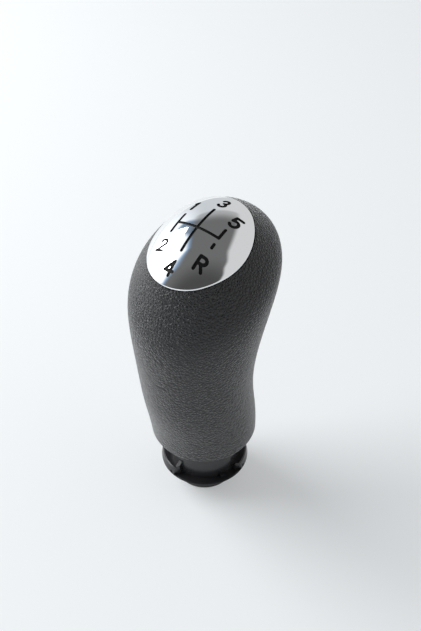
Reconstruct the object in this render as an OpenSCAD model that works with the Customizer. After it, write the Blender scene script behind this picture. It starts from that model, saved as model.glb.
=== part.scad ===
// Gear shift knob with a soft grained grip, a plated oval cap and a bayonet collar for the gaiter.
// Millimetres. The origin lies on the lever's axis in the plane of the spigot's foot, +Z is up,
// +Y points to the front of the car and +X to its right.

/* [Lever] */
// Diameter of the lever that the bush grips
lever_d = 12; // [11:0.1:13]
// Wall of the bush
bush_wall = 1.6; // [1.2:0.1:2]
// Height of the bush's open end above the foot plane
bush_z = 1.2; // [0.6:0.1:2]
// Depth of the bush's bore
bore_depth = 65; // [56:1:68]
// Thickness of the bush's closed end
bush_end = 2; // [1.2:0.1:3]
// Thickness of the bush's flange, which stops it in the core
bush_flange_t = 2; // [1.2:0.1:2.4]
// Width of the flange outside the bush's own wall
bush_flange_w = 1.8; // [1:0.1:2]
// Width of each relief slit at the bush's open end
slit_w = 1; // [0.6:0.1:1.4]
// Height of the relief slits
slit_h = 15; // [8:1:20]

/* [Gaiter collar] */
// Diameter of the spigot that the knob stands on
spigot_d = 21.2; // [20.4:0.2:22]
// Height of the spigot below the plate
spigot_h = 7.8; // [6.8:0.1:9]
// Diameter of the collar over its plate and pads
collar_d = 32; // [31:0.2:33]
// Diameter of the plate's flat underside
plate_d = 29.4; // [28:0.2:31]
// Thickness of the plate under the pads and windows
plate_t = 1.2; // [1:0.1:2]
// Radius of the plate's upper edge
plate_edge_r = 0.4; // [0.3:0.1:0.6]
// Height of the pads above the plate
pad_h = 3; // [2.4:0.1:4]
// Chamfer of the pads' upper outer edge
pad_chamfer = 0.4; // [0.2:0.1:0.8]
// Inward taper of the pads' outer wall
pad_taper = 0.5; // [0.2:0.1:0.8]
// Chamfer of the pads' ends, which leads the gaiter's lugs in
pad_lead = 1.8; // [1.4:0.1:2.2]
// Height of the gusset between the neck and the end of each pad
gusset_h = 2.3; // [1.6:0.1:3]
// Height of the gusset's outer end above the pad
gusset_end_h = 1; // [0.6:0.1:1.6]
// Thickness of the gusset
gusset_t = 1.3; // [1:0.1:2]
// Diameter of the neck inside the pads
neck_d = 25.8; // [25.4:0.1:26.2]
// Diameter of the neck's upper part, which the grip hides
neck_top_d = 27.4; // [26.8:0.1:28]
// Height above the plate at which the neck widens
neck_step = 7.8; // [6.5:0.1:10]
// Wall of the collar's neck
neck_wall = 1.6; // [1.2:0.1:2]
// Wall of the collar's hub round the bush
hub_wall = 1.5; // [1.2:0.1:2]
// Height of the hub above the plate
hub_h = 14; // [10:0.5:16]
// Angle that each of the two windows leaves open
window_angle = 91; // [80:1:96]
// Direction of the first window, from +X
window_turn = -48.5; // [-60:0.5:-40]
// Width of the sill's rib in each window
stop_w = 1.4; // [1:0.1:2]
// Height of the rib above the sill
stop_h = 1.2; // [0.8:0.1:1.6]
// Direction of the rib from the middle of its window
stop_turn = 21; // [10:1:30]
// Width and height of the notch at each pad's foot
notch = 0.9; // [0.5:0.1:1.2]
// Angle from the window's end to the notch
notch_turn = 11; // [10:0.5:14]
// Thickness of the ribs between the hub and the neck
collar_rib_t = 1.2; // [0.8:0.1:1.6]
// Number of ribs between the hub and the neck
collar_ribs = 8; // [6:1:10]
// Length of the snap fingers above the core's bottom edge
finger_h = 8; // [7:0.1:9]
// Width of each gap between the fingers
finger_gap = 2.4; // [1.6:0.1:3]
// Length of the fingers' tips above the barb ring
finger_tip = 1.2; // [0.8:0.1:1.6]
// Height of the barb ring on the fingers
barb_h = 1.4; // [1:0.1:1.8]
// Reach of the barb ring's groove outside the neck
barb_w = 0.5; // [0.3:0.05:0.6]

/* [Grip] */
// Diameter of the grip just above its bottom lip
rim_d = 37.4; // [36.4:0.1:38.4]
// Height of the grip's underside above the foot plane
grip_z = 24.6; // [23.6:0.1:25.6]
// Forward offset of the rim
rim_y = -0.5; // [-1:0.1:0]
// Radius of the bottom lip
lip_r = 1.4; // [1:0.1:1.8]
// Thickness of the soft skin
skin_t = 1.8; // [1.4:0.1:2.2]
// Width of the skin's turned-in edge under the core
turn_in = 2; // [1.4:0.1:2.4]
// Height of the heel section
heel_z = 34.6; // [32.6:0.1:36.6]
// Forward offset of the heel section
heel_y = -1.4; // [-2:0.1:-0.8]
// Width of the heel section
heel_w = 38; // [37:0.1:39]
// Height of the waist section
waist_z = 46.6; // [44.6:0.1:48.6]
// Forward offset of the waist section
waist_y = -4.2; // [-4.8:0.1:-3.4]
// Width of the waist section
waist_w = 37.6; // [36.8:0.1:38.6]
// Height of the hollow section, where the fingers reach round
hollow_z = 59.6; // [57.6:0.1:61.6]
// Forward offset of the hollow section
hollow_y = -4.7; // [-5.3:0.1:-4]
// Width of the hollow section
hollow_w = 38.6; // [37.8:0.1:39.6]
// Height of the palm section
palm_z = 73.6; // [71.6:0.1:75.6]
// Forward offset of the palm section
palm_y = -3.3; // [-4:0.1:-2.6]
// Width of the palm section
palm_w = 42.4; // [41.4:0.1:43.4]
// Height of the head section
head_z = 88.3; // [86.6:0.1:89.6]
// Forward offset of the head section
head_y = -0.5; // [-1.2:0.1:0.2]
// Width of the head section
head_w = 47.2; // [46.2:0.1:48.2]
// Height of the shoulder section
shoulder_z = 97.2; // [96.6:0.1:97.8]
// Forward offset of the shoulder section
shoulder_y = 2.7; // [2:0.1:3.2]
// Width of the shoulder section
shoulder_w = 46; // [45:0.1:46.6]

/* [Cap] */
// Height of the dome's apex above the foot plane
cap_z = 112.1; // [111.1:0.1:113.1]
// Forward offset of the dome's apex
cap_y = -3.5; // [-4:0.1:-3]
// Backward lean of the cap towards the driver
cap_lean = 17.4; // [16:0.2:19]
// Width of the cap
cap_w = 31.2; // [30.4:0.1:31.8]
// Length of the cap
cap_l = 37.6; // [36.8:0.1:38.2]
// Radius of the oval's two ends
cap_end_r = 13.6; // [13:0.1:14]
// Radius of the dome across the car
dome_cross_r = 19.8; // [19:0.1:22]
// Radius of the dome along the car
dome_long_r = 32; // [30:0.5:36]
// Thickness of the dome
cap_t = 1.8; // [1.4:0.1:2.2]
// Wall of the cap's skirt
skirt_t = 1.5; // [1.2:0.1:1.8]
// Depth of the skirt's edge below the apex, where it seats on the core
seat_depth = 12.6; // [12:0.1:13.2]
// Gap round the cap's skirt
cap_gap = 0.25; // [0.15:0.05:0.35]
// Width of the soft edge that shows round the cap
edge_w = 0.3; // [0.2:0.05:0.4]
// Drop of the soft edge below the cap's own edge
edge_drop = 0.4; // [0.2:0.1:0.6]
// Radius of the soft edge where it turns down beside the cap
edge_r = 0.5; // [0.3:0.1:0.7]
// Width of the core's flat top outside the skirt, at the sides
land_side = 1.2; // [1:0.1:1.3]
// Width of the core's flat top outside the skirt, at the ends
land_end = 2.6; // [2.4:0.1:2.8]
// Width of each snap leg
leg_w = 4; // [3:0.1:5]
// Thickness of each snap leg
leg_t = 1.5; // [1.2:0.1:1.8]
// Reach of each leg below the seat
leg_reach = 7.4; // [6.5:0.1:8.5]
// Side offset of the legs from the cap's middle
leg_x = 7; // [6:0.1:8]
// End offset of the legs from the cap's middle
leg_y = 10.5; // [9.5:0.1:11]
// Reach of the barb on each leg
leg_barb = 0.8; // [0.5:0.1:1]
// Height of the barb on each leg
barb_len = 3; // [2.4:0.1:3.6]
// Height of the ramp that leads the barb in
ramp_len = 1.8; // [1.2:0.1:2.2]
// Forward offset of the core's flat top under the cap
seat_shift = 0.3; // [0:0.1:0.6]

/* [Gate pattern] */
// Width of the engraved lines
line_w = 0.75; // [0.5:0.05:1]
// Depth of the engraved lines
line_depth = 0.35; // [0.2:0.05:0.6]
// Pitch between the gate's lanes
gate_pitch = 7.4; // [6.6:0.1:7.8]
// Half length of the middle lane
lane_long = 8.8; // [8:0.1:9.2]
// Half length of the outer lanes
lane_short = 3.7; // [3:0.1:4.2]
// Start of the reverse dash below the crossbar
dash_start = 2; // [1.4:0.1:2.6]
// Length of the reverse dash
dash_l = 1.8; // [1.4:0.1:2.4]
// Forward offset of the gate on the cap
gate_y = 0.5; // [0:0.1:1]

/* [Core] */
// Number of moulding pockets round the socket
pockets = 6; // [4:1:6]
// Angle between neighbouring pockets
pocket_step = 40; // [34:1:40]
// Angle that each pocket spans
pocket_angle = 28; // [20:1:30]
// Radial width of the pockets
pocket_w = 2.8; // [2:0.1:3]
// Height of the pockets above the counterbore
pocket_h = 42; // [30:1:44]
// Wall between the bush's flange and the pockets
pocket_gap = 0.4; // [0.3:0.1:0.8]

/* [Hidden] */
$fn = 96;
// Clearance of a sliding fit, of the snap fits and the overshoot of cuts
fit = 0.05;
snap = 0.15;
over = 1;
// Points round the grip and rings up its outside and inside
around = 60;
rings_out = 30;
rings_in = 22;
lip_steps = 4;
// Powers of the rise that the grip's lean, depth and saddle follow
lean_power = 1.25;
depth_power = 2;
saddle_power = 6;
// Drop, backward shift and loss of depth of the inside's head and shoulder, as shares of the skin
head_inset = [0.38, 0.22, 0.28];
shoulder_inset = [0.85, 0.22, 0];
bush_r = lever_d / 2 + bush_wall;
core_z = grip_z + lip_r;
rim_r = rim_d / 2;
neck_r = neck_d / 2;
collar_r = collar_d / 2;
wall_mid = neck_r - neck_wall / 2;
counterbore_r = neck_r + snap;
finger_z = core_z + finger_h;
ceiling_z = finger_z + snap + bush_flange_t;
pocket_in = bush_r + bush_flange_w + pocket_gap;
edge_a = cap_w / 2 + cap_gap + edge_w;
edge_b = cap_l / 2 + cap_gap + edge_w;
sag_side = sag(edge_a, 0);
sag_end = sag(0, edge_b);
sag_mean = (sag_side + sag_end) / 2;
sag_saddle = (sag_end - sag_side) / 2;
barb_z = finger_z - finger_tip - barb_h;
sill_z = spigot_h + plate_t;
pad_z = sill_z + pad_h;

// Depth of the dome's surface below its apex at a side and an end offset
function sag(u, v) =
    let (r = dome_long_r - dome_cross_r + sqrt(dome_cross_r ^ 2 - u ^ 2))
    dome_long_r - sqrt(r ^ 2 - v ^ 2);

// A section is its middle's Y and Z, its lean, its half width, its half depth and its saddle.
// The grip leans and deepens as it rises from the rim to the cap.
edge_section = cap_section(sag_mean + edge_drop, 0, edge_a, edge_b, sag_saddle);
function cap_section(depth, shift, a, b, saddle) = [
    cap_y + depth * sin(cap_lean) + shift * cos(cap_lean),
    cap_z - depth * cos(cap_lean) + shift * sin(cap_lean),
    cap_lean, a, b, saddle];
function rise(z) = (z - core_z) / (edge_section[1] - core_z);
function body_section(y, z, w) =
    let (f = max(rise(z), 0))
    let (deeper = 1 + (edge_b / edge_a - 1) * f ^ depth_power)
    [y, z, cap_lean * f ^ lean_power, w / 2, w / 2 * deeper, sag_saddle * f ^ saddle_power];

outer_sections = [
    [rim_y, core_z, 0, rim_r, rim_r, 0],
    body_section(heel_y, heel_z, heel_w),
    body_section(waist_y, waist_z, waist_w),
    body_section(hollow_y, hollow_z, hollow_w),
    body_section(palm_y, palm_z, palm_w),
    body_section(head_y, head_z, head_w),
    body_section(shoulder_y, shoulder_z, shoulder_w),
    edge_section];

// The inside keeps the skin's thickness: the head and shoulder sections also come down with it
function inset(s, share) = [
    s[0] - share[1] * skin_t, s[1] - share[0] * skin_t, s[2],
    s[3] - skin_t, s[4] - (1 + share[2]) * skin_t, 0];
seat_a = cap_w / 2 + cap_gap + land_side;
seat_b = cap_l / 2 + cap_gap + land_end;
inner_sections = [
    for (k = [0 : 4]) inset(outer_sections[k], [0, 0, 0]),
    inset(outer_sections[5], head_inset),
    inset(outer_sections[6], shoulder_inset),
    cap_section(seat_depth, seat_shift, seat_a, seat_b, 0)];

// Uniform cubic B-spline through the first and last sections
function blend(sections, t) =
    let (last = len(sections) - 1)
    let (q = concat([2 * sections[0] - sections[1]], sections, [2 * sections[last] - sections[last - 1]]))
    let (x = t * last, i = min(floor(x), last - 1), s = x - i)
    ((1 - s) ^ 3 * q[i] + (3 * s ^ 3 - 6 * s ^ 2 + 4) * q[i + 1]
        + (-3 * s ^ 3 + 3 * s ^ 2 + 3 * s + 1) * q[i + 2] + s ^ 3 * q[i + 3]) / 6;

function ring(s) = [
    for (k = [0 : around - 1])
        let (f = 360 * k / around, v = s[4] * sin(f), w = s[5] * cos(2 * f))
        [s[3] * cos(f), s[0] + v * cos(s[2]) - w * sin(s[2]), s[1] + v * sin(s[2]) + w * cos(s[2])]];
function loft(sections, n) = [for (k = [0 : n]) ring(blend(sections, k / n))];
function reversed(list) = [for (k = [len(list) - 1 : -1 : 0]) list[k]];

// Triangles between ring i and ring j of a stack, split along either diagonal
function strip(i, j, other = false) = [
    for (k = [0 : around - 1])
        let (n = (k + 1) % around, a = i * around + k, b = j * around + k, c = j * around + n, d = i * around + n)
        each other ? [[a, b, d], [b, c, d]] : [[a, b, c], [a, c, d]]];

// Solid between the first and last ring of a stack, closed by a flat face at each end
module stack(rings) {
    n = len(rings);
    bottom = [for (k = [0 : around - 1]) k];
    top = [for (k = [around - 1 : -1 : 0]) (n - 1) * around + k];
    polyhedron([for (r = rings) each r], concat([bottom, top], [for (i = [0 : n - 2]) each strip(i, i + 1)]));
}

// Four-arc oval of a given growth outside the cap's own outline
module oval(grow) {
    a = cap_w / 2 + grow;
    b = cap_l / 2 + grow;
    end_r = cap_end_r + grow;
    side_r = (a ^ 2 + (b - end_r) ^ 2 - end_r ^ 2) / (2 * (a - end_r));
    tangent_y = (b - end_r) * side_r / (side_r - end_r);
    for (s = [-1, 1]) translate([0, s * (b - end_r)]) circle(r = end_r);
    intersection() {
        translate([a - side_r, 0]) circle(r = side_r, $fn = 180);
        translate([side_r - a, 0]) circle(r = side_r, $fn = 180);
        square([2 * side_r, 2 * tangent_y], center = true);
    }
}

// Everything below the dome's surface, sunk by a given depth, in the cap's own frame
module dome(sink) {
    reach = dome_long_r + over;
    translate([0, 0, -dome_long_r]) rotate([0, 90, 0]) rotate_extrude($fn = 240)
        intersection() {
            translate([dome_long_r - dome_cross_r, 0]) circle(r = dome_cross_r - sink, $fn = 180);
            translate([0, -reach]) square([reach, 2 * reach]);
        }
}

// Places its children in the cap's frame, with the dome's apex at its origin
module on_cap() translate([0, cap_y, cap_z]) rotate([cap_lean, 0, 0]) children();

// Ring sector with square ends, between two radii and two heights
module sector(r_in, r_out, z_low, z_high, middle, angle)
    translate([0, 0, z_low]) rotate([0, 0, middle - angle / 2])
        rotate_extrude(angle = angle) translate([r_in, 0]) square([r_out - r_in, z_high - z_low]);

module tube(r_out, r_in, z_low, z_high) translate([0, 0, z_low]) difference() {
    cylinder(r = r_out, h = z_high - z_low);
    translate([0, 0, -over]) cylinder(r = r_in, h = z_high - z_low + 2 * over);
}

// Soft skin: one closed stack of rings from the turned-in edge over the outside to the inside
module grip_cover() {
    in_r = rim_r - skin_t - turn_in;
    lip = [for (k = [0 : lip_steps - 1])
        let (a = 90 * k / lip_steps, r = rim_r - lip_r + lip_r * sin(a))
        ring([rim_y, core_z - lip_r * cos(a), 0, r, r, 0])];
    wall_a = cap_w / 2 + cap_gap;
    wall_b = cap_l / 2 + cap_gap;
    edge = [for (a = [30 : 30 : 90])
        let (out = edge_w * (1 - sin(a)), depth = sag_mean + edge_drop + edge_r * (1 - cos(a)))
        ring(cap_section(depth, 0, wall_a + out, wall_b + out, sag_saddle))];
    outside = concat(
        [ring([rim_y, core_z, 0, in_r, in_r, 0]), ring([rim_y, grip_z, 0, in_r, in_r, 0])],
        lip, loft(outer_sections, rings_out), edge,
        [ring(cap_section(seat_depth, 0, wall_a, wall_b, 0))]);
    rings = concat(outside, reversed(loft(inner_sections, rings_in)));
    n_out = len(outside);
    n = len(rings);
    color("#303134") polyhedron(
        [for (r = rings) each r],
        [for (i = [0 : n - 1]) each strip(i, (i + 1) % n, i >= n_out && i < n - 1)]);
}

// Rigid core with the bush socket, the collar's counterbore and snap groove, and the cap's seat
module grip_core() {
    color("#26272a") difference() {
        stack(loft(inner_sections, rings_in));
        translate([0, 0, core_z - over]) cylinder(r = counterbore_r, h = ceiling_z - core_z + over);
        translate([0, 0, barb_z - snap]) cylinder(r = counterbore_r + barb_w, h = barb_h + 2 * snap);
        translate([0, 0, ceiling_z - over])
            cylinder(r = bush_r + fit, h = bush_z + bore_depth + bush_end + snap - ceiling_z + over);
        for (k = [0 : pockets - 1])
            sector(pocket_in, pocket_in + pocket_w, ceiling_z - over, ceiling_z + pocket_h,
                -90 + (k - (pockets - 1) / 2) * pocket_step, pocket_angle);
        on_cap() for (sx = [-1, 1], sy = [-1, 1]) translate([sx * leg_x, sy * leg_y, -seat_depth]) {
            leg_slot(-leg_reach - snap, over, 0, sy);
            leg_slot(-leg_reach - snap, -leg_reach + barb_len + snap, leg_barb, sy);
        }
    }
}

// Slot for one snap leg, widened on the barb's side by a given reach
module leg_slot(low, high, reach, side) {
    y_in = -leg_t / 2 - snap;
    y_out = leg_t / 2 + snap + reach;
    translate([-leg_w / 2 - snap, side > 0 ? y_in : -y_out, low])
        cube([leg_w + 2 * snap, y_out - y_in, high - low]);
}

// Snap leg with its barb, hanging from the dome into the core
module leg(side) {
    low = -seat_depth - leg_reach;
    translate([-leg_w / 2, -leg_t / 2, low]) cube([leg_w, leg_t, leg_reach + seat_depth]);
    rotate([90, 0, 90]) linear_extrude(height = leg_w, center = true)
        polygon([
            [side * leg_t / 4, low],
            [side * leg_t / 2, low],
            [side * (leg_t / 2 + leg_barb), low + ramp_len],
            [side * (leg_t / 2 + leg_barb), low + barb_len],
            [side * leg_t / 4, low + barb_len]]);
}

// Bar between two corners of a line's middle, standing through the dome
module bar(x0, x1, y0, y1) translate([x0 - line_w / 2, y0 - line_w / 2, -sag(cap_w / 2, 0)])
    cube([x1 - x0 + line_w, y1 - y0 + line_w, sag(cap_w / 2, 0) + over]);

// Lines of the gate: two outer lanes, the middle lane, the crossbar and the reverse dash
module gate_lines() translate([0, gate_y, 0]) {
    bar(-gate_pitch, -gate_pitch, -lane_short, lane_short);
    bar(0, 0, -lane_long, lane_long);
    bar(-gate_pitch, gate_pitch, 0, 0);
    bar(gate_pitch, gate_pitch, 0, lane_short);
    bar(gate_pitch, gate_pitch, -dash_start - dash_l + line_w / 2, -dash_start - line_w / 2);
}

// Plated cap: a domed shell with a flat-edged skirt, snap legs and the engraved gate
module top_cap() {
    color("#d9dcdf") on_cap() difference() {
        union() {
            difference() {
                intersection() {
                    dome(0);
                    translate([0, 0, -seat_depth]) linear_extrude(height = seat_depth + over) oval(0);
                }
                intersection() {
                    dome(cap_t);
                    translate([0, 0, -seat_depth - over]) linear_extrude(height = seat_depth + over) oval(-skirt_t);
                }
            }
            intersection() {
                dome(cap_t / 2);
                for (sx = [-1, 1], sy = [-1, 1]) translate([sx * leg_x, sy * leg_y, 0]) leg(sy);
            }
        }
        difference() {
            gate_lines();
            dome(line_depth);
        }
    }
}

// Plastic sleeve on the lever, closed at its top and slit at its open end
module lever_bush() {
    color("#c9c6ba") difference() {
        union() {
            translate([0, 0, bush_z]) cylinder(r = bush_r, h = bore_depth + bush_end);
            translate([0, 0, ceiling_z - bush_flange_t]) cylinder(r = bush_r + bush_flange_w, h = bush_flange_t);
        }
        translate([0, 0, bush_z - over]) cylinder(r = lever_d / 2, h = bore_depth + over);
        for (a = [45, 135]) rotate([0, 0, a])
            translate([-bush_r - over, -slit_w / 2, bush_z - over])
                cube([2 * (bush_r + over), slit_w, slit_h + over]);
    }
}

// Black collar: spigot, plate, neck, two pads with windows between, ribbed hollow and snap fingers
module gaiter_collar() {
    hub_mid = bush_r + 2 * fit + hub_wall / 2;
    rib_z = sill_z - plate_t / 2;
    color("#1d1e20") difference() {
        union() {
            difference() {
                pad_ring();
                for (s = [0, 180]) window(window_turn + s);
            }
            collar_body();
            for (k = [0 : collar_ribs - 1]) rotate([0, 0, 360 * k / collar_ribs])
                translate([hub_mid, -collar_rib_t / 2, rib_z])
                    cube([wall_mid - hub_mid, collar_rib_t, hub_h - plate_t / 2]);
            for (s = [0, 180]) rotate([0, 0, window_turn + s]) {
                rotate([0, 0, stop_turn]) translate([wall_mid, -stop_w / 2, rib_z])
                    cube([neck_r + stop_w - wall_mid, stop_w, plate_t / 2 + stop_h]);
                rotate([0, 0, -window_angle / 2]) gusset();
            }
        }
        for (a = [0, 90]) rotate([0, 0, window_turn + a])
            translate([-neck_r - over, -finger_gap / 2, core_z + over])
                cube([2 * (neck_r + over), finger_gap, finger_z - core_z]);
        for (s = [0, 180], e = [-1, 1])
            rotate([0, 0, window_turn + s + e * (window_angle / 2 + notch_turn)])
                translate([collar_r - notch, -notch / 2, sill_z])
                    cube([2 * notch, notch, notch]);
        for (s = [0, 180], e = [-1, 1]) rotate([0, 0, window_turn + s + e * window_angle / 2])
            translate([collar_r - pad_lead, 0, sill_z]) rotate([0, 0, 45 * e])
                translate([-fit, e > 0 ? -pad_lead - over : 0, 0])
                    cube([2 * pad_lead, pad_lead + over, pad_h + gusset_h + over]);
    }
}

// Gusset beside a window's end, from the pad's top up the neck
module gusset() translate([0, -fit, 0]) rotate([90, 0, 0]) linear_extrude(height = gusset_t)
    polygon([
        [wall_mid, pad_z - pad_h / 2],
        [collar_r - pad_taper - 1.5 * pad_chamfer, pad_z - pad_h / 2],
        [collar_r - pad_taper - 1.5 * pad_chamfer, pad_z + gusset_end_h],
        [neck_r + fit, pad_z + gusset_h],
        [wall_mid, pad_z + gusset_h]]);

// Revolved body of the collar: spigot, neck with its snap barb, open hollow and hub
module collar_body() {
    hub_in = bush_r + 2 * fit;
    hollow_r = neck_r - neck_wall;
    barb_r = neck_r + barb_w - snap;
    rotate_extrude() polygon([
        [hub_in, 0],
        [spigot_d / 2 - plate_edge_r, 0],
        [spigot_d / 2, plate_edge_r],
        [spigot_d / 2, spigot_h],
        [neck_r, spigot_h],
        [neck_r, sill_z + neck_step],
        [neck_top_d / 2, sill_z + neck_step],
        [neck_top_d / 2, core_z],
        [neck_r, core_z],
        [neck_r, barb_z],
        [barb_r, barb_z],
        [barb_r, barb_z + barb_h / 2],
        [neck_r, barb_z + barb_h],
        [neck_r, finger_z],
        [hollow_r, finger_z],
        [hollow_r, sill_z],
        [hub_in + hub_wall, sill_z],
        [hub_in + hub_wall, sill_z + hub_h],
        [hub_in, sill_z + hub_h]]);
}

// Revolved ring of the plate and the pads, with a bevel under the plate's rim
module pad_ring() rotate_extrude() polygon([
    [wall_mid, spigot_h],
    [plate_d / 2, spigot_h],
    [collar_r, sill_z - plate_edge_r],
    [collar_r, sill_z],
    [collar_r - pad_taper, pad_z - pad_chamfer],
    [collar_r - pad_taper - pad_chamfer, pad_z],
    [wall_mid, pad_z]]);

// Cutter for one window, which leaves the sill with an eased outer edge
module window(middle) rotate([0, 0, middle - window_angle / 2])
    rotate_extrude(angle = window_angle) polygon([
        [wall_mid - neck_wall / 4, sill_z],
        [collar_r - plate_edge_r, sill_z],
        [collar_r, sill_z - plate_edge_r / 2],
        [collar_r + over, sill_z - plate_edge_r],
        [collar_r + over, pad_z + over],
        [wall_mid - neck_wall / 4, pad_z + over]]);

grip_cover();
grip_core();
top_cap();
lever_bush();
gaiter_collar();
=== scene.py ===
"""Looks of a gear shift knob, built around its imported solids.

The file is laid out as an add-on and is run as a script. Lengths are metres in the frame of the solids:
the origin on the lever's axis in the plane of the foot, +Z up, +Y to the front of the car. The grip's own
heights start at its bottom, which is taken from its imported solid.
"""

import math

import bpy
import numpy as np
from bpy.props import FloatProperty, FloatVectorProperty, IntProperty, PointerProperty
from mathutils import Matrix, Vector


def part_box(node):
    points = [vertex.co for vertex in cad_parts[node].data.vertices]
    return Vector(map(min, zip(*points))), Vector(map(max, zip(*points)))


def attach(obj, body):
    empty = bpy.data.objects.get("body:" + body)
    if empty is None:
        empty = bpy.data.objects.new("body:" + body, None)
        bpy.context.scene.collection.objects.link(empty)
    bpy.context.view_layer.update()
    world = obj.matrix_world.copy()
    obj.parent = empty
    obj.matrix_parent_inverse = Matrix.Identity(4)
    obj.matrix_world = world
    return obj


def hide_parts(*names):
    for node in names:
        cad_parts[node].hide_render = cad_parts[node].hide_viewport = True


bl_info = {
    "name": "Gear shift knob",
    "version": (1, 0, 0),
    "blender": (4, 5, 0),
    "location": "3D View > Sidebar > Gear knob",
    "description": "Builds the skin, the plated cap, the finishes and the studio of a gear shift knob",
    "category": "Object",
}

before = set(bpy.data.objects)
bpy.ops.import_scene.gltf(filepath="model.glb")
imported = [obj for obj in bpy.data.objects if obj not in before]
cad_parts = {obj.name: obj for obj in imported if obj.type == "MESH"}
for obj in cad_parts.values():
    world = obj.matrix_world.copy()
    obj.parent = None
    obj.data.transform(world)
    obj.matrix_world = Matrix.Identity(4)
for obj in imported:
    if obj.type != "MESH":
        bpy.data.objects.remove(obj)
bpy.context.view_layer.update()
MM = 0.001
BODY = "root"
WHITE = (1.0, 1.0, 1.0, 1.0)
COOL_WHITE = (0.93, 0.98, 1.02, 1.0)
SKY_BLUE = (0.56, 0.78, 1.06, 1.0)
CAP_LOW, CAP_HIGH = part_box("top_cap")
GRIP_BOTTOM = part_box("grip_cover")[0].z

# Powers of the rise that the grip's lean, depth and saddle follow
LEAN_POWER = 1.25
DEPTH_POWER = 2
SADDLE_POWER = 6


# Sizes and colours that a user would change


class GripSizes(bpy.types.PropertyGroup):
    """Sizes of the soft skin, as sections of height above its bottom, forward offset and width."""

    rim_width: FloatProperty(
        name="Rim width", description="Diameter of the grip just above its lip", default=37.4 * MM,
        unit="LENGTH")
    rim_offset: FloatProperty(
        name="Rim offset", description="Forward offset of the rim", default=-0.5 * MM, unit="LENGTH")
    lip_radius: FloatProperty(
        name="Lip radius", description="Radius of the bottom lip", default=1.4 * MM, unit="LENGTH")
    thickness: FloatProperty(
        name="Thickness", description="Thickness of the skin", default=1.8 * MM, unit="LENGTH")
    turned_in: FloatProperty(
        name="Turned-in edge", description="Width of the edge turned in under the core", default=2 * MM,
        unit="LENGTH")
    heel: FloatVectorProperty(
        name="Heel", description="Height, forward offset and width of the heel", unit="LENGTH",
        default=(10 * MM, -1.4 * MM, 38 * MM))
    waist: FloatVectorProperty(
        name="Waist", description="Height, forward offset and width of the waist", unit="LENGTH",
        default=(22 * MM, -4.2 * MM, 37.6 * MM))
    hollow: FloatVectorProperty(
        name="Hollow", description="Height, forward offset and width of the finger hollow", unit="LENGTH",
        default=(35 * MM, -4.7 * MM, 38.6 * MM))
    palm: FloatVectorProperty(
        name="Palm", description="Height, forward offset and width of the palm section", unit="LENGTH",
        default=(49 * MM, -3.3 * MM, 42.4 * MM))
    head: FloatVectorProperty(
        name="Head", description="Height, forward offset and width of the head", unit="LENGTH",
        default=(63.7 * MM, -0.5 * MM, 47.2 * MM))
    shoulder: FloatVectorProperty(
        name="Shoulder", description="Height, forward offset and width of the shoulder", unit="LENGTH",
        default=(72.6 * MM, 2.7 * MM, 46 * MM))
    edge_width: FloatProperty(
        name="Edge width", description="Width of the soft edge round the cap", default=0.15 * MM,
        unit="LENGTH")
    edge_drop: FloatProperty(
        name="Edge drop", description="Drop of the soft edge below the cap's own edge", default=0.3 * MM,
        unit="LENGTH")
    edge_radius: FloatProperty(
        name="Edge radius", description="Radius of the soft edge beside the cap", default=0.3 * MM,
        unit="LENGTH")
    points: IntProperty(name="Points", description="Points round the skin", default=280, min=60)
    rings: IntProperty(name="Rings", description="Rings up the skin's outside", default=190, min=40)


class CapSizes(bpy.types.PropertyGroup):
    """Sizes of the plated cap, in its own leaning frame."""

    height: FloatProperty(
        name="Height", description="Height of the dome's apex above the grip's bottom", default=87.5 * MM,
        unit="LENGTH")
    offset: FloatProperty(
        name="Offset", description="Forward offset of the dome's apex", default=-3.5 * MM, unit="LENGTH")
    lean: FloatProperty(
        name="Lean", description="Lean of the cap towards the driver", default=math.radians(17.4),
        subtype="ANGLE")
    width: FloatProperty(
        name="Width", description="Width of the cap", default=CAP_HIGH.x - CAP_LOW.x, unit="LENGTH")
    length: FloatProperty(name="Length", description="Length of the cap", default=37.6 * MM, unit="LENGTH")
    end_radius: FloatProperty(
        name="End radius", description="Radius of the oval's two ends", default=13.6 * MM, unit="LENGTH")
    cross_radius: FloatProperty(
        name="Cross radius", description="Radius of the dome across the car", default=19.8 * MM,
        unit="LENGTH")
    long_radius: FloatProperty(
        name="Long radius", description="Radius of the dome along the car", default=32 * MM, unit="LENGTH")
    rim_radius: FloatProperty(
        name="Rim radius", description="Radius of the cap's eased rim", default=0.5 * MM, unit="LENGTH")
    shell: FloatProperty(
        name="Shell", description="Thickness of the dome", default=1.8 * MM, unit="LENGTH")
    skirt: FloatProperty(name="Skirt", description="Wall of the skirt", default=1.5 * MM, unit="LENGTH")
    seat_depth: FloatProperty(
        name="Seat depth", description="Depth of the skirt's edge below the apex", default=12.6 * MM,
        unit="LENGTH")
    gap: FloatProperty(
        name="Gap", description="Gap between the cap and the skin", default=0.12 * MM, unit="LENGTH")
    cell: FloatProperty(
        name="Cell", description="Spacing of the dome's mesh", default=0.125 * MM, unit="LENGTH")


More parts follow.
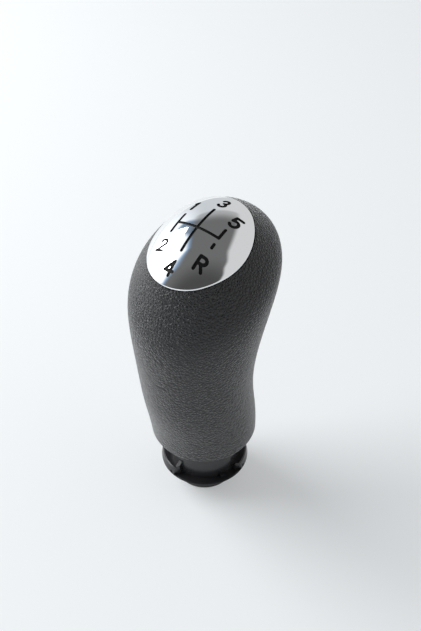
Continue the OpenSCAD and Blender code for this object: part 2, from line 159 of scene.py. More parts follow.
class GateSizes(bpy.types.PropertyGroup):
    """Sizes of the engraved gate and its numbers."""

    line: FloatProperty(
        name="Line", description="Width of the engraved lines", default=0.9 * MM, unit="LENGTH")
    depth: FloatProperty(
        name="Depth", description="Depth of the engraved lines", default=0.35 * MM, unit="LENGTH")
    wall: FloatProperty(
        name="Wall", description="Width of an engraved line's sloping wall", default=0.06 * MM,
        unit="LENGTH")
    pitch: FloatProperty(name="Pitch", description="Pitch of the lanes", default=7.4 * MM, unit="LENGTH")
    long_lane: FloatProperty(
        name="Long lane", description="Half length of the middle lane", default=8.8 * MM, unit="LENGTH")
    short_lane: FloatProperty(
        name="Short lane", description="Half length of the outer lanes", default=3.7 * MM, unit="LENGTH")
    dash_start: FloatProperty(
        name="Dash start", description="Start of the reverse dash behind the crossbar", default=2 * MM,
        unit="LENGTH")
    dash: FloatProperty(
        name="Dash", description="Length of the reverse dash", default=2.3 * MM, unit="LENGTH")
    offset: FloatProperty(
        name="Offset", description="Forward offset of the gate on the cap", default=0.5 * MM, unit="LENGTH")
    digit_height: FloatProperty(
        name="Digit height", description="Height of the numbers", default=4.6 * MM, unit="LENGTH")
    digit_line: FloatProperty(
        name="Digit line", description="Width of the numbers' strokes", default=0.9 * MM, unit="LENGTH")


class Finishes(bpy.types.PropertyGroup):
    """Colours and textures of the finishes."""

    skin: FloatVectorProperty(
        name="Skin", description="Colour of the skin", subtype="COLOR", size=4,
        default=(0.012, 0.0125, 0.0138, 1))
    grain: FloatProperty(
        name="Grain", description="Size of the leather grain's cells", default=0.95 * MM, unit="LENGTH")
    plating: FloatVectorProperty(
        name="Plating", description="Colour of the plating", subtype="COLOR", size=4,
        default=(0.86, 0.87, 0.88, 1))
    paint: FloatVectorProperty(
        name="Paint", description="Colour of the paint in the engraving", subtype="COLOR", size=4,
        default=(0.008, 0.008, 0.008, 1))
    collar: FloatVectorProperty(
        name="Collar", description="Colour of the collar", subtype="COLOR", size=4,
        default=(0.018, 0.018, 0.0195, 1))
    core: FloatVectorProperty(
        name="Core", description="Colour of the core", subtype="COLOR", size=4,
        default=(0.03, 0.03, 0.032, 1))
    bush: FloatVectorProperty(
        name="Bush", description="Colour of the bush", subtype="COLOR", size=4,
        default=(0.56, 0.55, 0.50, 1))


class StudioSettings(bpy.types.PropertyGroup):
    """Camera, soft box and floor."""

    azimuth: FloatProperty(
        name="Azimuth", description="Turn of the camera from straight behind", default=math.radians(34.99),
        subtype="ANGLE")
    elevation: FloatProperty(
        name="Elevation", description="Elevation of the camera", default=math.radians(40.6),
        subtype="ANGLE")
    lens: FloatProperty(
        name="Lens", description="Focal length of the camera in millimetres", default=50, min=1)
    distance: FloatProperty(
        name="Distance", description="Distance of the camera from its aim", default=285.18 * MM,
        unit="LENGTH")
    aim_height: FloatProperty(
        name="Aim height", description="Height above the grip's bottom that the camera looks at",
        default=51 * MM, unit="LENGTH")
    aim_side: FloatProperty(
        name="Aim side", description="Offset of the aim to the camera's right", default=2.17 * MM,
        unit="LENGTH")
    key_power: FloatProperty(
        name="Key power", description="Power of the soft box", default=10, unit="POWER")
    key_side: FloatProperty(
        name="Key side", description="Turn of the soft box from the camera, to the left when negative",
        default=math.radians(-110), subtype="ANGLE")
    key_elevation: FloatProperty(
        name="Key elevation", description="Elevation of the soft box", default=math.radians(32),
        subtype="ANGLE")
    key_distance: FloatProperty(
        name="Key distance", description="Distance of the soft box from the camera's aim", default=1.0,
        unit="LENGTH")
    key_width: FloatProperty(
        name="Key width", description="Width of the soft box", default=0.87, unit="LENGTH")
    key_height: FloatProperty(
        name="Key height", description="Height of the soft box", default=0.73, unit="LENGTH")
    floor: FloatVectorProperty(
        name="Floor", description="Colour of the floor", subtype="COLOR", size=4,
        default=(0.88, 0.9, 0.91, 1))
    floor_width: FloatProperty(
        name="Floor width", description="Width of the square floor", default=5.0, unit="LENGTH")


# Shader nodes


class Value:
    """A shader's number, worked with as a Python number: each operation adds its Math node."""

    def __init__(self, tree, socket):
        self.tree = tree
        self.socket = socket

    def maths(self, operation, *inputs):
        node = self.tree.node("ShaderNodeMath", {"operation": operation}, dict(enumerate(inputs)))
        return Value(self.tree, node.outputs["Value"])

    def __add__(self, other):
        return self.maths("ADD", self, other)

    __radd__ = __add__

    def __sub__(self, other):
        return self.maths("SUBTRACT", self, other)

    def __rsub__(self, other):
        return self.maths("SUBTRACT", other, self)

    def __mul__(self, other):
        return self.maths("MULTIPLY", self, other)

    __rmul__ = __mul__

    def __truediv__(self, other):
        return self.maths("DIVIDE", self, other)

    def __rtruediv__(self, other):
        return self.maths("DIVIDE", other, self)

    def ramp(self, low, high):
        """0 at low and 1 at high, easing in and out between them; low may be the larger of the two."""
        settings = {"interpolation_type": "SMOOTHSTEP"}
        places = {"Value": self, "From Min": low, "From Max": high}
        return Value(self.tree, self.tree.node("ShaderNodeMapRange", settings, places).outputs["Result"])


class Tree:
    """The nodes of a material or of the world."""

    def __init__(self, owner):
        owner.use_nodes = True
        self.owner = owner
        self.nodes = owner.node_tree.nodes
        self.links = owner.node_tree.links
        self.nodes.clear()

    def node(self, kind, settings=None, inputs=None):
        """Adds a node, sets its settings first and then the values or links of its sockets."""
        node = self.nodes.new(kind)
        for name, setting in (settings or {}).items():
            setattr(node, name, setting)
        for name, given in (inputs or {}).items():
            given = given.socket if isinstance(given, Value) else given
            if isinstance(given, bpy.types.NodeSocket):
                self.links.new(given, node.inputs[name])
            else:
                node.inputs[name].default_value = given
        return node

    def value(self, kind, output, settings=None, inputs=None):
        return Value(self, self.node(kind, settings, inputs).outputs[output])

    def mix(self, factor, first, second):
        """The first colour at factor 0 and the second at 1."""
        node = self.node("ShaderNodeMix", {"data_type": "RGBA"}, {"Factor": factor, 6: first, 7: second})
        return node.outputs[2]

    def surface(self, shader, output="ShaderNodeOutputMaterial"):
        self.node(output, None, {"Surface": shader.outputs[0]})
        return self.owner


def finish(name):
    """A new material with no nodes."""
    return Tree(bpy.data.materials.new(name))


def object_point(tree, size):
    """The place on the object, in units of a given size."""
    place = tree.node("ShaderNodeTexCoord").outputs["Object"]
    scaled = {0: place, "Scale": 1 / size}
    return tree.node("ShaderNodeVectorMath", {"operation": "SCALE"}, scaled).outputs["Vector"]


def noise(tree, size):
    """Soft noise from 0 to 1 whose features have a given size."""
    inputs = {"Vector": object_point(tree, size), "Scale": 1.0, "Detail": 3.0}
    return tree.value("ShaderNodeTexNoise", "Fac", None, inputs)


def leather_finish(sizes):
    """Dark skin with a fine pebble grain: raised cells with creases between them, which wander a little,
    and painted shade darkening the creases.
    """
    tree = finish("leather_grain")
    relief = 0.22 * MM
    wander = tree.node("ShaderNodeTexNoise", None, {
        "Vector": object_point(tree, 1.6 * sizes.grain), "Scale": 1.0, "Detail": 2.0})
    shift = tree.node("ShaderNodeVectorMath", {"operation": "SCALE"}, {
        0: wander.outputs["Color"], "Scale": 0.7})
    place = tree.node("ShaderNodeVectorMath", {"operation": "ADD"}, {
        0: object_point(tree, sizes.grain), 1: shift.outputs["Vector"]}).outputs["Vector"]
    crease = tree.value("ShaderNodeTexVoronoi", "Distance", {"feature": "DISTANCE_TO_EDGE"}, {
        "Vector": place, "Scale": 1.0})
    cell = tree.value("ShaderNodeTexVoronoi", "Distance", {"feature": "SMOOTH_F1"}, {
        "Vector": place, "Scale": 1.0, "Smoothness": 0.4})
    pores = noise(tree, 0.25 * sizes.grain)
    raised = crease.ramp(0.0, 0.26)
    height = raised * 0.6 + (1 - cell) * 0.7 + pores * 0.15
    bump = tree.node("ShaderNodeBump", None, {"Height": height, "Strength": 1.0, "Distance": relief})
    worn = noise(tree, 14 * MM)
    # Painted shade: the creases take a darker copy of the skin's colour
    crease_shade_colour = tuple(0.3 * c for c in sizes.skin[:3]) + (1.0,)
    shader = tree.node("ShaderNodeBsdfPrincipled", None, {
        "Base Color": tree.mix(raised, crease_shade_colour, tuple(sizes.skin)),
        "Roughness": 0.38 - 0.1 * raised + 0.04 * worn,
        "Specular IOR Level": 0.5,
        "Sheen Weight": 0.5,
        "Sheen Roughness": 0.3,
        "Normal": bump.outputs["Normal"]})
    return tree.surface(shader)


def plated_finish(sizes):
    """Bright plating, with black paint in the engraved strokes up to their edges."""
    tree = finish("plating_with_black_engraving")
    # Distance inside the nearest stroke, in millimetres
    inside = tree.value("ShaderNodeAttribute", "Fac", {"attribute_name": "inside_stroke"})
    painted = inside.ramp(-0.035, -0.005)
    haze = noise(tree, 9 * MM)
    shader = tree.node("ShaderNodeBsdfPrincipled", None, {
        "Base Color": tree.mix(painted, tuple(sizes.plating), tuple(sizes.paint)),
        "Metallic": 1 - painted,
        "Specular IOR Level": 0.2,
        "Roughness": 0.045 + 0.02 * haze + 0.5 * painted})
    return tree.surface(shader)


def moulded_finish(name, colour, roughness, grain, relief, gloss=0.5):
    """Moulded plastic with a faint eroded texture of a given grain and relief."""
    tree = finish(name)
    eroded = noise(tree, grain)
    cloudy = noise(tree, 30 * grain)
    bump = tree.node("ShaderNodeBump", None, {"Height": eroded, "Strength": 0.5, "Distance": relief})
    paler = tuple(1.25 * c for c in colour[:3]) + (1.0,)
    shader = tree.node("ShaderNodeBsdfPrincipled", None, {
        "Base Color": tree.mix(cloudy, tuple(colour), paler),
        "Roughness": roughness - 0.06 + 0.12 * cloudy,
        "Specular IOR Level": gloss,
        "Normal": bump.outputs["Normal"]})
    return tree.surface(shader)


# Meshes


def add_mesh(name, points, faces, material, nodes):
    """A smooth mesh with crisp corners that rides on the knob and stands for some of its solids."""
    mesh = bpy.data.meshes.new(name)
    mesh.from_pydata(np.asarray(points).tolist(), [], faces)
    mesh.validate()
    mesh.shade_smooth()
    mesh.set_sharp_from_angle(angle=math.radians(40))
    mesh.materials.append(material)
    piece = bpy.data.objects.new(name, mesh)
    bpy.context.scene.collection.objects.link(piece)
    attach(piece, BODY)
    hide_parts(*nodes)
    return piece


def ring_indices(first, rings, count):
    """The indices of the points of each ring, for rings that follow each other from a first index."""
    return [list(range(start, start + count)) for start in range(first, first + rings * count, count)]


def ring_faces(first, second):
    """Quads between two rings, each given as the indices of its points."""
    return list(zip(first, first[1:] + first[:1], second[1:] + second[:1], second))


def dome_depth(cap, u, v):
    """Depth of the cap's surface below its apex, at a side and an end offset."""
    across = np.sqrt(cap.cross_radius ** 2 - u ** 2)
    radius = cap.long_radius - cap.cross_radius + across
    return cap.long_radius - np.sqrt(radius ** 2 - v ** 2)


def from_cap(cap, points):
    """Points of the cap's own frame, moved to the frame of the knob."""
    turned = np.asarray(points) @ np.array(Matrix.Rotation(cap.lean, 3, "X")).T
    return turned + np.array([0.0, cap.offset, GRIP_BOTTOM + cap.height])


# A section of the grip is its middle's Y and Z, its lean, its half width, its half depth and its saddle


def cap_section(cap, depth, shift, half_width, half_depth, saddle):
    """A section that leans with the cap, at a depth below its apex."""
    lean = cap.lean
    return np.array([
        cap.offset + depth * math.sin(lean) + shift * math.cos(lean),
        GRIP_BOTTOM + cap.height - depth * math.cos(lean) + shift * math.sin(lean),
        lean, half_width, half_depth, saddle])


def grip_sections(grip, cap):
    """Sections of the grip's outside, from the rim up to the edge beside the cap."""
    half_width = cap.width / 2 + cap.gap + grip.edge_width
    half_depth = cap.length / 2 + cap.gap + grip.edge_width
    side, end = dome_depth(cap, half_width, 0.0), dome_depth(cap, 0.0, half_depth)
    edge_depth, saddle = (side + end) / 2 + grip.edge_drop, (end - side) / 2
    edge = cap_section(cap, edge_depth, 0, half_width, half_depth, saddle)
    rim_height = GRIP_BOTTOM + grip.lip_radius
    rim = np.array([grip.rim_offset, rim_height, 0, grip.rim_width / 2, grip.rim_width / 2, 0])
    sections = [rim]
    for above, offset, width in (grip.heel, grip.waist, grip.hollow, grip.palm, grip.head, grip.shoulder):
        height = GRIP_BOTTOM + above
        rise = max((height - rim_height) / (edge[1] - rim_height), 0.0)
        deeper = 1 + (half_depth / half_width - 1) * rise ** DEPTH_POWER
        sections.append(np.array([
            offset, height, cap.lean * rise ** LEAN_POWER,
            width / 2, width / 2 * deeper, saddle * rise ** SADDLE_POWER]))
    return sections + [edge]


def blended(sections, count):
    """Sections along a uniform cubic B-spline that starts at the first one and ends at the last."""
    points = np.array([2 * sections[0] - sections[1], *sections, 2 * sections[-1] - sections[-2]])
    spans = len(sections) - 1
    for step in range(count + 1):
        along = step / count * spans
        i = min(int(along), spans - 1)
        s = along - i
        weights = np.array([
            (1 - s) ** 3, 3 * s ** 3 - 6 * s ** 2 + 4, -3 * s ** 3 + 3 * s ** 2 + 3 * s + 1, s ** 3])
        yield weights @ points[i:i + 4] / 6


def section_ring(section, count):
    """Points round one section, saddle included."""
    middle_y, middle_z, lean, half_width, half_depth, saddle = section
    turn = np.arange(count) * 2 * math.pi / count
    along = half_depth * np.sin(turn)
    lift = saddle * np.cos(2 * turn)
    return np.stack([
        half_width * np.cos(turn),
        middle_y + along * math.cos(lean) - lift * math.sin(lean),
        middle_z + along * math.sin(lean) + lift * math.cos(lean)], axis=1)


def beside_cap(cap, outset, count, drop=0.0, depth=None):
    """A ring of points outside the cap's outline, a drop below its surface or a depth below its apex."""
    turn = np.arange(count) * 2 * math.pi / count
    u, v = (cap.width / 2 + outset) * np.cos(turn), (cap.length / 2 + outset) * np.sin(turn)
    distance, outward = oval_distance(cap, u, v)
    u, v = np.stack([u, v]) - (distance - outset) * outward
    below = dome_depth(cap, u, v) + drop if depth is None else np.full(count, depth)
    return from_cap(cap, np.stack([u, v, -below], axis=1))


def lip_sections(grip):
    """Level round sections from the turned-in edge under the core, out and up round the bottom lip."""
    ease = 0.1 * MM
    core = GRIP_BOTTOM + grip.lip_radius
    inner = grip.rim_width / 2 - grip.thickness - grip.turned_in
    places = [(core, inner), (GRIP_BOTTOM + ease, inner), (GRIP_BOTTOM, inner + ease)]
    steps = 12
    for step in range(steps):
        angle = math.pi / 2 * step / steps
        radius = grip.rim_width / 2 - grip.lip_radius * (1 - math.sin(angle))
        places.append((core - grip.lip_radius * math.cos(angle), radius))
    return [np.array([grip.rim_offset, height, 0, radius, radius, 0]) for height, radius in places]


def inner_sections(grip, cap, outside):
    """Sections of the skin's inside, up to the land round the cap's seat."""

    def inset(section, drop=0, back=0, flatter=0):
        return section - grip.thickness * np.array([back, drop, 0, 1, 1 + flatter, 0])

    *body, head, shoulder, _ = outside
    seat_shift, land_side, land_end = 0.3 * MM, 1.2 * MM, 2.6 * MM
    half_width = cap.width / 2 + cap.gap + land_side
    half_depth = cap.length / 2 + cap.gap + land_end
    return [inset(section) for section in body] + [
        inset(head, drop=0.38, back=0.22, flatter=0.28),
        inset(shoulder, drop=0.85, back=0.22),
        cap_section(cap, cap.seat_depth, seat_shift, half_width, half_depth, 0)]


def skin_rings(grip, cap):
    """Rings of the skin: turned-in edge, lip, outside, soft edge, wall beside the cap, and inside."""
    count = grip.points
    outside = grip_sections(grip, cap)
    rings = [section_ring(section, count) for section in lip_sections(grip)]
    # The last fifth of the way up, the sections ease onto the cap's own outline
    fitted_from = 0.8
    grown = [section_ring(section, count) for section in blended(outside, grip.rings)]
    fitted = beside_cap(cap, cap.gap + grip.edge_width, count, drop=grip.edge_drop) - grown[-1]
    for step, ring in enumerate(grown):
        share = max(step / grip.rings - fitted_from, 0) / (1 - fitted_from)
        rings.append(ring + share ** 2 * (3 - 2 * share) * fitted)
    edge_steps = 8
    for step in range(1, edge_steps + 1):
        angle = math.pi / 2 * step / edge_steps
        out = grip.edge_width * (1 - math.sin(angle))
        drop = grip.edge_drop + grip.edge_radius * (1 - math.cos(angle))
        rings.append(beside_cap(cap, cap.gap + out, count, drop=drop))
    ease = 0.2 * MM
    rings.append(beside_cap(cap, cap.gap, count, depth=cap.seat_depth - ease))
    rings.append(beside_cap(cap, cap.gap, count, depth=cap.seat_depth))
    inside_steps = 40
    inside = blended(inner_sections(grip, cap, outside), inside_steps)
    return rings + [section_ring(section, count) for section in inside][::-1]


# The cap's outline, dome and engraving


def oval_distance(cap, u, v):
    """Signed distance outside the cap's four-arc outline, and the direction away from it."""
    a, b, end = cap.width / 2, cap.length / 2, cap.end_radius
    side = (a ** 2 + (b - end) ** 2 - end ** 2) / (2 * (a - end))
    x, y = np.abs(u), np.abs(v)
    from_end = np.stack([x, y - (b - end)])
    from_side = np.stack([x + side - a, y])
    at_end = (side - a) * (y - (b - end)) > x * (b - end)
    arm = np.where(at_end, from_end, from_side)
    reach = np.maximum(np.hypot(*arm), 1e-9)
    distance = reach - np.where(at_end, end, side)
    return distance, arm / reach * np.stack([np.where(u < 0, -1, 1), np.where(v < 0, -1, 1)])


def dome_slope(cap, u, v):
    """Steepness of the dome's surface in the direction away from its middle, as the sine of its angle."""
    across = np.sqrt(cap.cross_radius ** 2 - u ** 2)
    radius = cap.long_radius - cap.cross_radius + across
    along = np.sqrt(radius ** 2 - v ** 2)
    steepness = np.hypot(radius * u / across, v) / along
    return steepness / np.sqrt(1 + steepness ** 2)


def arc(x, y, radius_x, radius_y, start, end, steps=12):
    """Points along part of an ellipse, between two angles in degrees."""
    angles = np.radians(np.linspace(start, end, steps))
    return [(x + radius_x * math.cos(a), y + radius_y * math.sin(a)) for a in angles]


def numbers():
    """Strokes of the numbers and the R, in a box one unit high with its middle at the origin."""
    return {
        "1": [[(-0.13, 0.36), (0.04, 0.5), (0.04, -0.5)]],
        "2": [arc(0.0, 0.22, 0.28, 0.28, 165, -40) + [(-0.3, -0.5), (0.3, -0.5)]],
        "3": [arc(0.0, 0.26, 0.26, 0.24, 160, -90) + arc(0.0, -0.24, 0.3, 0.26, 90, -160)],
        "4": [[(0.14, -0.5), (0.14, 0.5), (-0.32, -0.2), (0.34, -0.2)]],
        "5": [[(0.28, 0.5), (-0.2, 0.5), (-0.26, 0.06)] + arc(0.0, -0.18, 0.3, 0.32, 125, -155)],
        "R": [[(-0.28, -0.5), (-0.28, 0.5), (0.02, 0.5)] + arc(0.04, 0.24, 0.27, 0.26, 90, -90)
              + [(-0.28, -0.02)],
              [(0.02, -0.02), (0.3, -0.5)]],
    }


def digit_places():
    """Middle of each number on the cap, and its height and stroke as shares of the usual ones."""
    return {
        "1": (-7.1 * MM, 8.8 * MM, 1.0, 1.25),
        "3": (0.4 * MM, 13.6 * MM, 1.0, 1.05),
        "5": (7.9 * MM, 8.6 * MM, 1.1, 1.1),
        "2": (-7.3 * MM, -8.2 * MM, 1.0, 0.9),
        "4": (-0.8 * MM, -13.9 * MM, 1.15, 1.0),
        "R": (7.1 * MM, -9.1 * MM, 1.12, 1.15),
    }


def strokes(gate):
    """Every engraved line as its points and its half width: the gate and its numbers."""
    half = gate.line / 2
    dash_front, dash_back = -gate.dash_start - half, -gate.dash_start - gate.dash + half
    lanes = [
        [(-gate.pitch, -gate.short_lane), (-gate.pitch, gate.short_lane)],
        [(0, -gate.long_lane), (0, gate.long_lane)],
        [(-gate.pitch, 0), (gate.pitch, 0), (gate.pitch, gate.short_lane)],
        [(gate.pitch, dash_front), (gate.pitch, dash_back)]]
    lines = [([(x, y + gate.offset) for x, y in lane], half) for lane in lanes]
    slant = 0.08
    drawn = numbers()
    for name, (x, y, size, weight) in digit_places().items():
        height = size * (gate.digit_height - gate.digit_line)
        for stroke in drawn[name]:
            points = [(x + height * (px + slant * py), y + height * py) for px, py in stroke]
            lines.append((points, weight * gate.digit_line / 2))
    return lines


def inside_strokes(lines, u, v):
    """Signed distance inside the nearest engraved line, and the direction towards that line's middle."""
    inside = np.full(u.shape, -1.0)
    towards = np.zeros((2, *u.shape))
    for points, half in lines:
        for (x0, y0), (x1, y1) in zip(points, points[1:]):
            dx, dy = x1 - x0, y1 - y0
            squared_length = max(dx ** 2 + dy ** 2, 1e-12)
            along = np.clip(((u - x0) * dx + (v - y0) * dy) / squared_length, 0, 1)
            off_u, off_v = x0 + along * dx - u, y0 + along * dy - v
            off = np.maximum(np.hypot(off_u, off_v), 1e-9)
            nearer = half - off > inside
            inside = np.where(nearer, half - off, inside)
            towards = np.where(nearer, np.stack([off_u, off_v]) / off, towards)
    return inside, towards


def snapped(cell, distance, direction, u, v):
    """Grid points within half a cell of a line are moved onto it, so that its edge is smooth."""
    near = np.abs(distance) < 0.5 * cell
    move = np.where(near, distance * direction, 0)
    return u - move[0], v - move[1], near


def rim_distance(cap, u, v):
    """Signed distance outside the line where the dome meets its eased rim, and the outward direction."""
    distance, outward = oval_distance(cap, u, v)
    on_cap = np.clip(u, -cap.width / 2, cap.width / 2)
    return distance + cap.rim_radius * (1 - dome_slope(cap, on_cap, v)), outward


def corner_values(grid):
    """The values at the four corners of each square of a grid."""
    return np.stack([grid[:-1, :-1], grid[1:, :-1], grid[1:, 1:], grid[:-1, 1:]], axis=-1).reshape(-1, 4)


def grid_faces(index, level):
    """Faces of a grid from each point's index, -1 for none, and its side of a stroke's edge."""
    corners, levels = corner_values(index), corner_values(level)
    there = (corners >= 0).sum(axis=1)
    # A square from the plating to an engraved floor is split along the stroke's edge
    split = (there == 4) & (levels.max(axis=1) > 0) & (levels.min(axis=1) < 0)
    across = split & (levels[:, 0] != 0)
    faces = corners[(there == 4) & ~split].tolist()
    faces += [[i for i in quad if i >= 0] for quad in corners[there == 3].tolist()]
    for chosen, halves in ((across, ([0, 1, 3], [1, 2, 3])), (split & ~across, ([0, 1, 2], [0, 2, 3]))):
        for half in halves:
            faces += corners[chosen][:, half].tolist()
    return faces


def open_edge(faces):
    """The points of the one open edge of some faces, in order."""
    edges = dict.fromkeys(edge for face in faces for edge in zip(face, face[1:] + face[:1]))
    following = {start: end for start, end in edges if (end, start) not in edges}
    line = [next(iter(following))]
    while following[line[-1]] != line[0] and len(line) <= len(following):
        line.append(following[line[-1]])
    if len(line) != len(following):
        raise RuntimeError("the dome's rim isn't one closed line")
    return line


def dome_grid(cap, gate):
    """Points and faces of the engraved dome inside its rim, and how far each point is inside a stroke."""
    count_u = int(cap.width / 2 / cap.cell) + 1
    count_v = int(cap.length / 2 / cap.cell) + 1
    steps = np.meshgrid(np.arange(-count_u, count_u + 1), np.arange(-count_v, count_v + 1), indexing="ij")
    u, v = cap.cell * np.array(steps)
    lines = strokes(gate)
    inside, towards = inside_strokes(lines, u, v)
    u, v, on_edge = snapped(cap.cell, inside, towards, u, v)
    distance, outward = rim_distance(cap, u, v)
    u, v, on_rim = snapped(cap.cell, distance, outward, u, v)
    kept = on_rim | (distance < 0)
    inside, _ = inside_strokes(lines, u, v)
    # A point that was moved onto one stroke's edge stays level, unless it is inside another stroke
    slack = 0.02 * MM
    inside[on_edge & (inside < slack)] = 0.0
    index = np.full(u.shape, -1)
    index[kept] = np.arange(kept.sum())
    faces = grid_faces(index, np.sign(inside))
    u, v, inside = u[kept], v[kept], inside[kept]
    sunk = gate.depth * np.clip(inside / gate.wall, 0, 1)
    return np.stack([u, v, -dome_depth(cap, u, v) - sunk], axis=1), faces, inside


def cap_mesh(cap, gate):
    """Points, faces and stroke depths of the whole cap: dome, eased rim, skirt and underside."""
    points, faces, inside = dome_grid(cap, gate)
    rim = open_edge(faces)
    edge = points[rim]
    _, outward = oval_distance(cap, edge[:, 0], edge[:, 1])
    outward = np.stack([outward[0], outward[1], np.zeros(len(rim))], axis=1)
    up = np.array([0.0, 0.0, 1.0])
    start = np.arcsin(dome_slope(cap, edge[:, 0], edge[:, 1]))[:, None]
    middle = edge - cap.rim_radius * (np.sin(start) * outward + np.cos(start) * up)
    rings = []
    rim_steps = 5
    for step in range(1, rim_steps + 1):
        angle = start + (math.pi / 2 - start) * step / rim_steps
        rings.append(middle + cap.rim_radius * (np.sin(angle) * outward + np.cos(angle) * up))
    wall = rings[-1]

    def skirt_ring(inset, height):
        ring = wall - inset * outward
        ring[:, 2] = height
        return ring

    ease = 0.1 * MM
    bottom = -cap.seat_depth
    rings += [skirt_ring(0, bottom + ease), skirt_ring(ease, bottom)]
    rings += [skirt_ring(cap.skirt - ease, bottom), skirt_ring(cap.skirt, bottom + ease)]
    # The underside closes in towards its middle
    under = skirt_ring(cap.skirt, 0.0)
    for share in (1.0, 0.97, 0.8, 0.55, 0.3, 0.12):
        ring = under * share
        ring[:, 2] = -dome_depth(cap, ring[:, 0], ring[:, 1]) - cap.shell
        rings.append(ring)
    loops = [rim] + ring_indices(len(points), len(rings), len(rim))
    for upper, lower in zip(loops, loops[1:]):
        faces += ring_faces(lower, upper)
    faces.append(loops[-1][::-1])
    outside = np.full(len(rings) * len(rim), -1.0)
    return np.concatenate([points, *rings]), faces, np.concatenate([inside, outside])


# Operators, one for each piece or group of like pieces


class KNOB_OT_skin(bpy.types.Operator):
    """Builds the soft grained skin in place of its plain solid."""

    bl_idname = "knob.skin"
    bl_label = "Skin"

    def execute(self, context):
        grip, cap = context.scene.knob_grip, context.scene.knob_cap
        rings = skin_rings(grip, cap)
        loops = ring_indices(0, len(rings), grip.points)
        faces = []
        for lower, upper in zip(loops, loops[1:] + loops[:1]):
            faces += ring_faces(lower, upper)
        material = leather_finish(context.scene.knob_finishes)
        add_mesh("skin", np.concatenate(rings), faces, material, ["grip_cover"])
        return {"FINISHED"}


class KNOB_OT_cap(bpy.types.Operator):
    """Builds the plated cap with its engraved gate and numbers in place of its plain solid."""

    bl_idname = "knob.cap"
    bl_label = "Cap"

    def execute(self, context):
        cap, gate = context.scene.knob_cap, context.scene.knob_gate
        points, faces, inside = cap_mesh(cap, gate)
        material = plated_finish(context.scene.knob_finishes)
        piece = add_mesh("cap", from_cap(cap, points), faces, material, ["top_cap"])
        depths = piece.data.attributes.new("inside_stroke", "FLOAT", "POINT")
        depths.data.foreach_set("value", (inside / MM).astype(np.float32))
        return {"FINISHED"}


class KNOB_OT_mouldings(bpy.types.Operator):
    """Gives the collar, the core and the bush their moulded finishes."""

    bl_idname = "knob.mouldings"
    bl_label = "Collar, core and bush"

    def execute(self, context):
        finishes = context.scene.knob_finishes
        materials = {
            "gaiter_collar": moulded_finish(
                "black_collar", finishes.collar, roughness=0.24, grain=0.35 * MM, relief=0.006 * MM,
                gloss=0.42),
            "grip_core": moulded_finish(
                "moulded_core", finishes.core, roughness=0.6, grain=0.5 * MM, relief=0.03 * MM),
            "lever_bush": moulded_finish(
                "natural_nylon", finishes.bush, roughness=0.48, grain=0.4 * MM, relief=0.015 * MM)}
        for node, material in materials.items():
            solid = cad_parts[node]
            solid.data.materials.clear()
            solid.data.materials.append(material)
        return {"FINISHED"}


class KNOB_OT_studio(bpy.types.Operator):
    """Sets up the camera, the soft box, the surroundings and the floor."""

    bl_idname = "knob.studio"
    bl_label = "Studio"

    def execute(self, context):
        studio = context.scene.knob_studio
        context.scene.view_settings.view_transform = "Standard"
        place_camera(context.scene, studio)
        add_soft_box(context.scene, studio)
        surroundings(context.scene, studio)
        add_floor(context.scene, studio)
        return {"FINISHED"}


def turned_away(turn, rise):
    """The direction at a turn from straight behind the knob and a rise above the floor."""
    return Vector((math.sin(turn) * math.cos(rise), -math.cos(turn) * math.cos(rise), math.sin(rise)))


def aim_point(studio):
    """The place on the lever's axis that the camera and the soft box are set out from."""
    return Vector((0, 0, GRIP_BOTTOM + studio.aim_height))


def place_camera(scene, studio):
    """The camera, which looks a little to the right of the lever's axis."""
    back = turned_away(studio.azimuth, studio.elevation)
    right = Vector((math.cos(studio.azimuth), math.sin(studio.azimuth), 0))
    up = back.cross(right)
    data = bpy.data.cameras.new("camera")
    data.lens = studio.lens
    data.sensor_width = 36.0
    data.clip_start = 10 * MM
    camera = bpy.data.objects.new("camera", data)
    place = aim_point(studio) + right * studio.aim_side + back * studio.distance
    turn = Matrix((right, up, back)).transposed().to_4x4()
    camera.matrix_world = Matrix.Translation(place) @ turn
    scene.collection.objects.link(camera)
    scene.camera = camera


def add_soft_box(scene, studio):
    """The soft box, which faces the knob from beside the camera."""
    data = bpy.data.lights.new("soft_box", "AREA")
    data.shape = "RECTANGLE"
    data.size = studio.key_width
    data.size_y = studio.key_height
    data.energy = studio.key_power
    lamp = bpy.data.objects.new("soft_box", data)
    away = turned_away(studio.azimuth + studio.key_side, studio.key_elevation)
    lamp.location = aim_point(studio) + away * studio.key_distance
    lamp.rotation_euler = away.to_track_quat("Z", "Y").to_euler()
    scene.collection.objects.link(lamp)


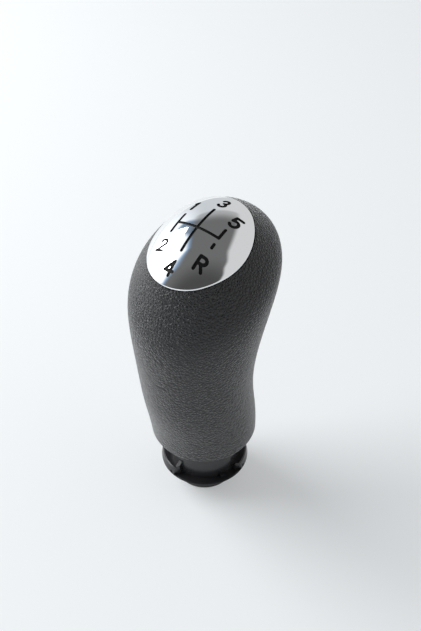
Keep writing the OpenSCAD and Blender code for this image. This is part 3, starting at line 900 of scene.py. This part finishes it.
def surroundings(scene, studio):
    """White for the camera; in reflections a pale room, white at the left, with a dark strip overhead."""
    world = bpy.data.worlds.new("room")
    scene.world = world
    tree = Tree(world)
    direction = tree.node("ShaderNodeTexCoord").outputs["Generated"]
    parts = tree.node("ShaderNodeSeparateXYZ", None, {"Vector": direction})
    x, y, z = (Value(tree, parts.outputs[axis]) for axis in "XYZ")
    to_right = x * math.cos(studio.azimuth) + y * math.sin(studio.azimuth)
    towards = x * math.sin(studio.azimuth) - y * math.cos(studio.azimuth)
    # Where a direction meets a level plane one unit above the knob, to the right and towards the camera
    height = z.maths("MAXIMUM", z, 0.02)
    side = to_right / height
    near = towards / height
    # The dark strip widens to the left near the camera, steps out at the right, and fades at both ends
    nearer = near.maths("MAXIMUM", near, 0.0)
    spread = 2 * nearer.maths("MAXIMUM", nearer - 0.35, 0.0)
    left_edge = side.ramp(-0.58 - 2.6 * nearer - spread, -0.32 - 0.75 * nearer - spread)
    right_steps = 0.2 * near.ramp(0.2, 0.6) + 0.2 * near.ramp(0.7, 1.1)
    right_edge = (side - right_steps).ramp(0.86, 0.62)
    far_edge = 0.45 * near.ramp(-1.45, -1.2) + 0.55 * near.ramp(-1.2, -0.6)
    near_edge = near.ramp(3.2, 2.0)
    strip = left_edge * right_edge * far_edge * near_edge
    # A bluish wedge runs out of the strip to the far left
    across = 0.7 * (side - near)
    along = -0.7 * (side + near)
    wedge = across.ramp(-0.13, 0.02) * across.ramp(0.5, 0.3) * along.ramp(1.9, 1.4) * along.ramp(0.1, 0.4)
    dark = strip + 0.8 * wedge * (1 - strip)
    # The room is brightest at the left, and the strip darkest near the camera
    pale = 0.70 + 0.55 * to_right.ramp(-0.15, -0.55)
    dim = 0.165 - 0.09 * towards.ramp(0.3, 0.75)
    strength = pale * (1 - dark) + dim * dark
    # The strip's left edge and the wedge are bluish, the room beside them cool
    bluish = 6.7 * left_edge * left_edge * (1 - left_edge) * near.ramp(-0.8, -0.5)
    bluish = bluish.maths("MAXIMUM", bluish, wedge * (1 - strip))
    cool = to_right.ramp(0.3, -0.1) * (1 - dark)
    tint = tree.mix(bluish, tree.mix(cool, WHITE, COOL_WHITE), SKY_BLUE)
    seen = tree.node("ShaderNodeLightPath").outputs["Is Camera Ray"]
    room = tree.node("ShaderNodeBackground", None, {"Color": tint, "Strength": strength})
    white = tree.node("ShaderNodeBackground", None, {"Color": WHITE, "Strength": 1.0})
    mixed = tree.node("ShaderNodeMixShader", None, {0: seen, 1: room.outputs[0], 2: white.outputs[0]})
    tree.surface(mixed, "ShaderNodeOutputWorld")


def add_floor(scene, studio):
    """A pale floor that keeps the knob's shadow, looks near white and fades to plain white far off."""
    half = studio.floor_width / 2
    corners = [(-half, -half, 0), (half, -half, 0), (half, half, 0), (-half, half, 0)]
    mesh = bpy.data.meshes.new("floor")
    mesh.from_pydata(corners, [], [(0, 1, 2, 3)])
    floor = bpy.data.objects.new("floor", mesh)
    scene.collection.objects.link(floor)
    tree = finish("pale_floor")
    paper = tree.node("ShaderNodeBsdfDiffuse", None, {"Color": tuple(studio.floor)})
    glow = tree.node("ShaderNodeEmission", None, {"Color": tuple(studio.floor), "Strength": 1.2})
    place = tree.node("ShaderNodeTexCoord").outputs["Object"]
    distance = tree.value("ShaderNodeVectorMath", "Value", {"operation": "LENGTH"}, {0: place})
    rays = tree.node("ShaderNodeLightPath").outputs
    kinds = ("Is Camera Ray", "Is Glossy Ray", "Is Transmission Ray")
    camera, glossy, through = (Value(tree, rays[kind]) for kind in kinds)
    glowing = (camera + glossy + through) * (0.3 + 0.7 * distance.ramp(0.35, 1.6))
    mixed = tree.node("ShaderNodeMixShader", None, {0: glowing, 1: paper.outputs[0], 2: glow.outputs[0]})
    mesh.materials.append(tree.surface(mixed))


class KNOB_PT_panel(bpy.types.Panel):
    """Lists the sizes, the colours and the steps."""

    bl_label = "Gear knob"
    bl_idname = "KNOB_PT_panel"
    bl_space_type = "VIEW_3D"
    bl_region_type = "UI"
    bl_category = "Gear knob"

    def draw(self, context):
        for operator in OPERATORS:
            self.layout.operator(operator.bl_idname)
        for name, group in GROUPS.items():
            box = self.layout.box()
            box.label(text=group.__name__)
            for setting in group.__annotations__:
                box.prop(getattr(context.scene, name), setting)


GROUPS = {
    "knob_grip": GripSizes,
    "knob_cap": CapSizes,
    "knob_gate": GateSizes,
    "knob_finishes": Finishes,
    "knob_studio": StudioSettings,
}
OPERATORS = (KNOB_OT_skin, KNOB_OT_cap, KNOB_OT_mouldings, KNOB_OT_studio)


def register():
    for name, group in GROUPS.items():
        bpy.utils.register_class(group)
        setattr(bpy.types.Scene, name, PointerProperty(type=group))
    for operator in OPERATORS:
        bpy.utils.register_class(operator)
    bpy.utils.register_class(KNOB_PT_panel)


def unregister():
    bpy.utils.unregister_class(KNOB_PT_panel)
    for operator in reversed(OPERATORS):
        bpy.utils.unregister_class(operator)
    for name, group in reversed(GROUPS.items()):
        delattr(bpy.types.Scene, name)
        bpy.utils.unregister_class(group)


def main():
    register()
    bpy.ops.knob.skin()
    bpy.ops.knob.cap()
    bpy.ops.knob.mouldings()
    bpy.ops.knob.studio()


if __name__ == "__main__":
    main()
